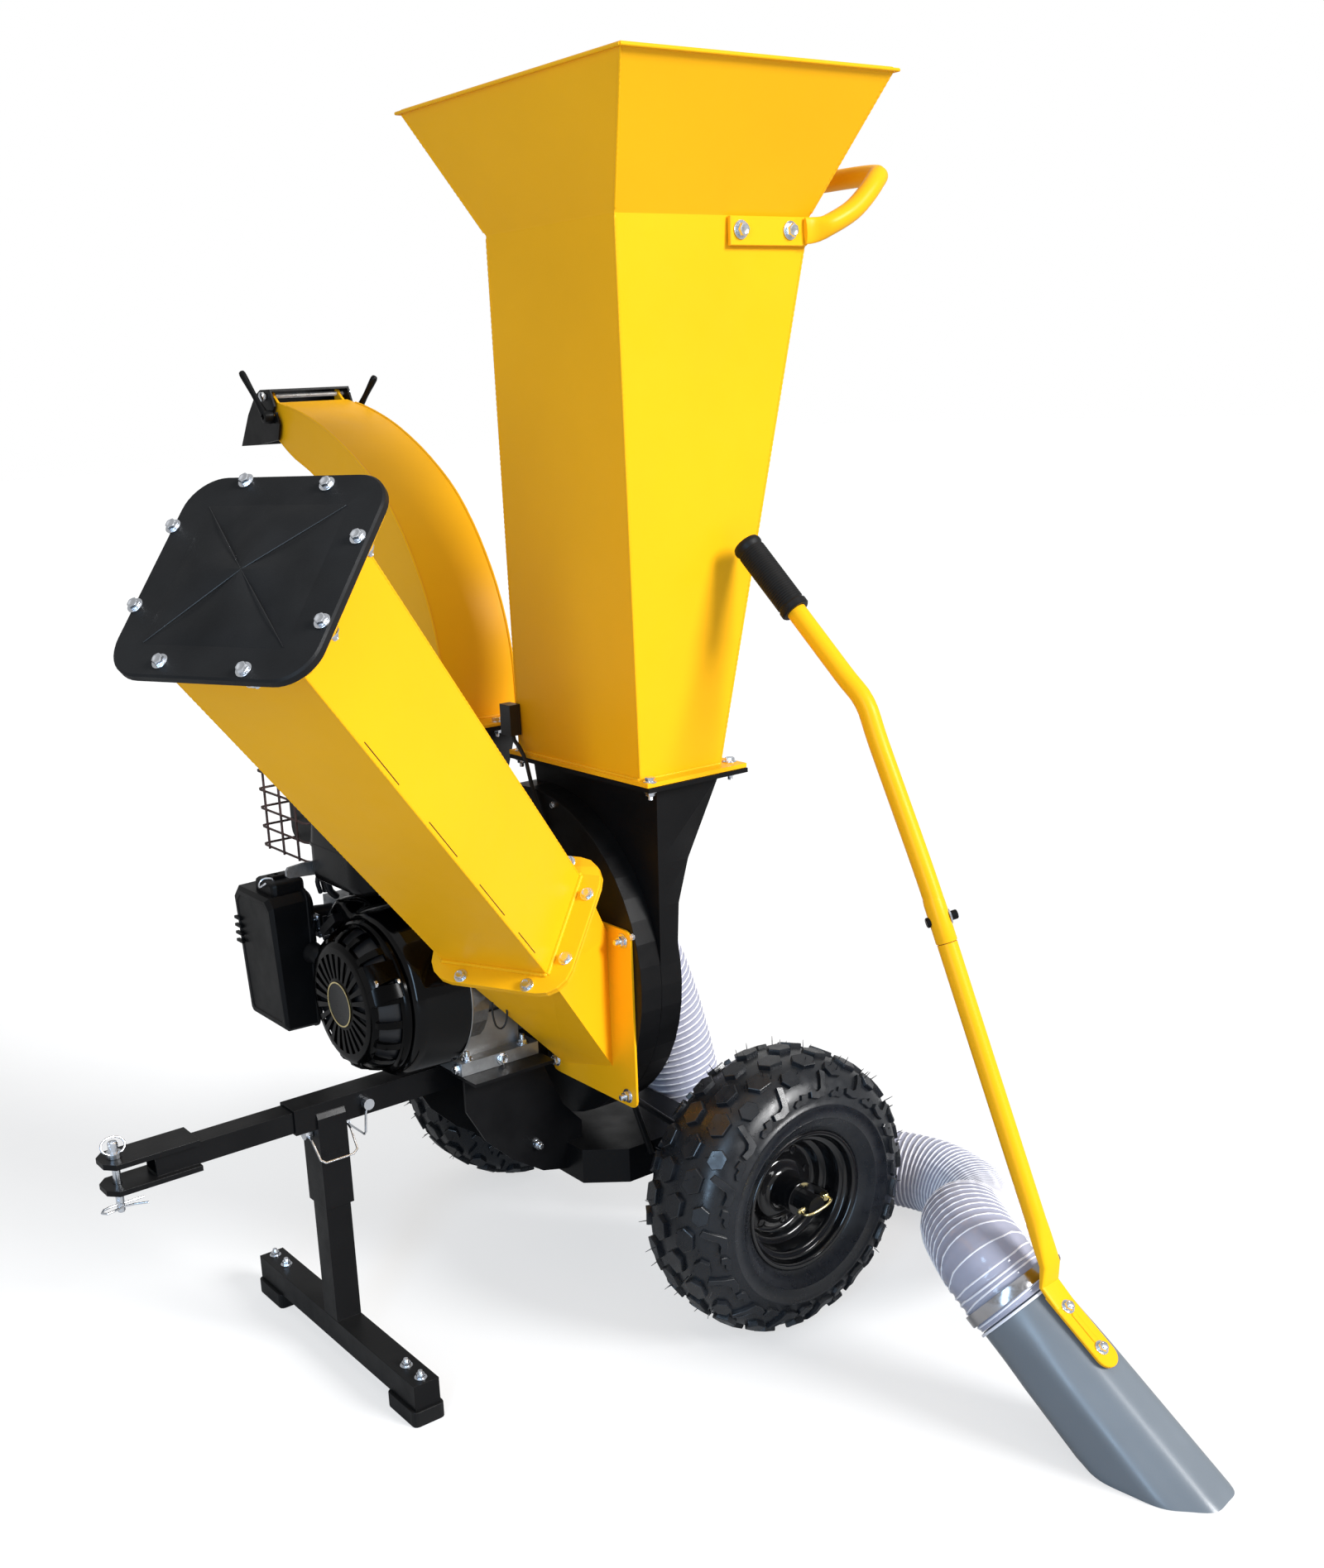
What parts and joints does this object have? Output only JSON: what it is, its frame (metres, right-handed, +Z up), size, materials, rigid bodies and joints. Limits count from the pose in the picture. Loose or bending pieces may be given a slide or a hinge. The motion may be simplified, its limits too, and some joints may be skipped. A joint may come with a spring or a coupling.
{
  "type": "petrol garden shredder",
  "caption": "Two-wheeled petrol chipper-shredder with a tall hopper, a side chipper chute, a discharge chute with deflector, and a suction hose with wand and nozzle.",
  "frame": {"origin": "on the floor, under the middle of the machine's box (hose, nozzle and wand left out)", "axes": "+Z up; -X towards the drawbar's hitch; -Y towards the side with the hose's nozzle and wand"},
  "size_m": [1.1393, 1.5465, 1.4181],
  "materials": {
    "yellow_paint": "glossy yellow powder coat",
    "black_paint": "satin black powder coat",
    "engine_black": "heat-proof matt black",
    "gloss_black": "gloss black",
    "tyre_rubber": "matt tread rubber",
    "rubber": "matt black rubber",
    "steel": "bright steel",
    "zinc": "zinc plated",
    "brass": "yellow passivated wire",
    "cast_alloy": "as cast",
    "black_plastic": "moulded",
    "grey_plastic": "satin grey",
    "clear_plastic": "milky, half see-through"
  },
  "bodies": {
    "machine": {"air_cleaner": "black_plastic", "axle": "steel", "blower_housing": "gloss_black", "brace_far": "black_paint", "brace_near": "black_paint", "carburettor": "cast_alloy", "chassis": "black_paint", "chipper_chute_lower": "yellow_paint", "chipper_chute_upper": "yellow_paint", "crankcase": "cast_alloy", "cylinder_head": "cast_alloy", "deflector_rod": "zinc", "discharge_chute": "yellow_paint", "drawbar_tube": "black_paint", "foot_pad_far": "rubber", "foot_pad_near": "rubber", "fuel_tank": "gloss_black", "hopper": "yellow_paint", "hopper_handle": "yellow_paint", "hose_clamp_nozzle": "steel", "hose_clamp_port": "steel", "hose_nozzle": "grey_plastic", "hose_port": "black_paint", "housing_front": "black_paint", "housing_rear": "black_paint", "lynch_pin_far": "brass", "lynch_pin_near": "brass", "muffler": "engine_black", "muffler_guard": "engine_black", "recoil_cover": "gloss_black", "rubber_guard": "rubber", "safety_switch": "rubber", "stand_leg": "black_paint", "vacuum_hose": "clear_plastic", "wand_grip": "rubber", "wand_lower": "yellow_paint", "wand_upper": "yellow_paint"},
    "wheel_near": {"rim_near": "gloss_black", "tyre_near": "tyre_rubber"},
    "wheel_far": {"rim_far": "gloss_black", "tyre_far": "tyre_rubber"},
    "rotor": {"crankshaft": "steel", "flywheel_fan": "cast_alloy", "knife_disc": "steel"},
    "deflector": {"deflector": "black_paint"},
    "clamp_near": {"clamp_lever_near": "black_plastic"},
    "clamp_far": {"clamp_lever_far": "black_plastic"},
    "inner_bar": {"drawbar_inner": "black_paint"},
    "hitch_pin": {"hitch_pin": "zinc"},
    "hitch_clip": {"hitch_clip": "zinc"},
    "drawbar_pin": {"drawbar_pin": "zinc"},
    "stand_pin": {"stand_pin": "zinc"},
    "throttle": {"throttle_lever": "engine_black"},
    "choke": {"choke_lever": "black_plastic"},
    "switch": {"engine_switch": "black_plastic"},
    "fuel_cap": {"fuel_cap": "black_plastic"},
    "dipstick": {"oil_dipstick": "black_plastic"},
    "grip": {"recoil_grip": "black_plastic"},
    "flap": {"hopper_flap": "rubber"}
  },
  "joints": [
    {"name": "near_wheel_spin", "type": "hinge", "parent": "machine", "child": "wheel_near", "pos_m": [0.25843, -0.39898, 0.175], "axis": [0, 1, 0], "continuous": true},
    {"name": "far_wheel_spin", "type": "hinge", "parent": "machine", "child": "wheel_far", "pos_m": [0.25843, 0.16442, 0.175], "axis": [0, 1, 0], "continuous": true},
    {"name": "rotor_spin", "type": "hinge", "parent": "machine", "child": "rotor", "pos_m": [0.05843, -0.11728, 0.4415], "axis": [1, 0, 0], "continuous": true},
    {"name": "deflector_tilt", "type": "hinge", "parent": "machine", "child": "deflector", "pos_m": [0.17543, 0.48972, 1.124], "axis": [1, 0, 0], "range_deg": [-22, 30]},
    {"name": "near_clamp_turn", "type": "hinge", "parent": "machine", "child": "clamp_near", "pos_m": [0.10433, 0.47272, 1.096], "axis": [1, 0, 0], "range_deg": [-60, 60]},
    {"name": "far_clamp_turn", "type": "hinge", "parent": "machine", "child": "clamp_far", "pos_m": [0.24653, 0.47272, 1.096], "axis": [1, 0, 0], "range_deg": [-60, 60]},
    {"name": "drawbar_length", "type": "slide", "parent": "machine", "child": "inner_bar", "axis": [-1, 0, 0], "range_m": [-0.06, 0.035]},
    {"name": "hitch_pin_lift", "type": "slide", "parent": "inner_bar", "child": "hitch_pin", "axis": [0, 0, 1], "range_m": [0, 0.015]},
    {"name": "hitch_clip_pull", "type": "slide", "parent": "hitch_pin", "child": "hitch_clip", "axis": [-1, 0, 0], "range_m": [0, 0.045]},
    {"name": "drawbar_pin_swing", "type": "hinge", "parent": "machine", "child": "drawbar_pin", "pos_m": [-0.14957, -0.11728, 0.3205], "axis": [0, 1, 0], "range_deg": [-50, 8]},
    {"name": "stand_pin_swing", "type": "hinge", "parent": "machine", "child": "stand_pin", "pos_m": [-0.19607, -0.11728, 0.2965], "axis": [-1, 0, 0], "range_deg": [0, 40]},
    {"name": "throttle_swing", "type": "hinge", "parent": "machine", "child": "throttle", "pos_m": [-0.06157, -0.01428, 0.575], "axis": [0, 1, 0], "range_deg": [-14, 18]},
    {"name": "choke_swing", "type": "hinge", "parent": "machine", "child": "choke", "pos_m": [-0.07257, 0.00472, 0.515], "axis": [0, 1, 0], "range_deg": [0, 60]},
    {"name": "switch_turn", "type": "hinge", "parent": "machine", "child": "switch", "pos_m": [-0.12157, -0.02928, 0.512], "axis": [1, 0, 0], "range_deg": [0, 60]},
    {"name": "fuel_cap_turn", "type": "hinge", "parent": "machine", "child": "fuel_cap", "pos_m": [-0.04157, -0.08728, 0.68], "axis": [0, 0, 1], "range_deg": [0, 90]},
    {"name": "dipstick_turn", "type": "hinge", "parent": "machine", "child": "dipstick", "pos_m": [0.03243, -0.05128, 0.372], "axis": [0, 0.8984, 0.4392], "range_deg": [0, 180]},
    {"name": "recoil_pull", "type": "slide", "parent": "machine", "child": "grip", "axis": [0, 0.5736, 0.8192], "range_m": [0, 0.034], "stiffness_N_per_m": 60},
    {"name": "hopper_flap_sag", "type": "hinge", "parent": "machine", "child": "flap", "pos_m": [0.35593, -0.23778, 1.26], "axis": [0, -1, 0], "range_deg": [-10, 42], "stiffness_Nm_per_rad": 1.2, "springref_deg": -8.59}
  ]
}
